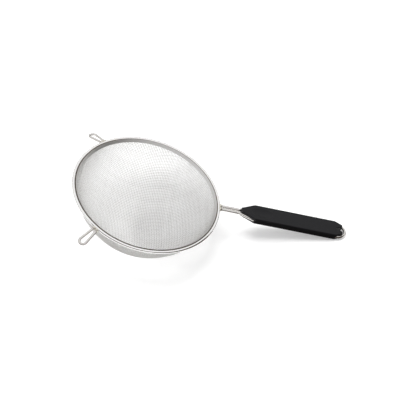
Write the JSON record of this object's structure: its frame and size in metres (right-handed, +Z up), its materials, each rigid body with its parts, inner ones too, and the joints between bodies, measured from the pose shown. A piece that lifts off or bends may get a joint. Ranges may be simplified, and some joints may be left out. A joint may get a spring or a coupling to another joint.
{
  "type": "tea strainer",
  "caption": "Long-handled wire mesh strainer: a woven steel bowl bound into a round wire rim, with wire rest ears and a wire handle with a black moulded grip.",
  "frame": {"origin": "on the table, under the middle of the standing strainer's bounding box", "axes": "+Z up from the table; +X level, from the bowl towards the end of the handle; the strainer stands on the bottom of its bowl and the end of its handle loop, so its rim leans about 16 degrees down towards the handle"},
  "size_m": [0.2762, 0.152, 0.0821],
  "materials": {
    "mesh_steel": "bright woven stainless wire",
    "band_steel": "rolled strip, lightly brushed",
    "wire_steel": "polished round wire",
    "weld_steel": "polished weld, slightly straw-coloured",
    "grip_plastic": "satin black moulding with a fine grain"
  },
  "bodies": {
    "root": {"mesh_bowl": "mesh_steel", "rim_band": "band_steel", "rim_hoop": "wire_steel", "left_ear": "wire_steel", "right_ear": "wire_steel", "left_ear_weld": "weld_steel", "right_ear_weld": "weld_steel", "handle_wire": "wire_steel", "handle_weld": "weld_steel", "grip": "grip_plastic"}
  },
  "joints": []
}
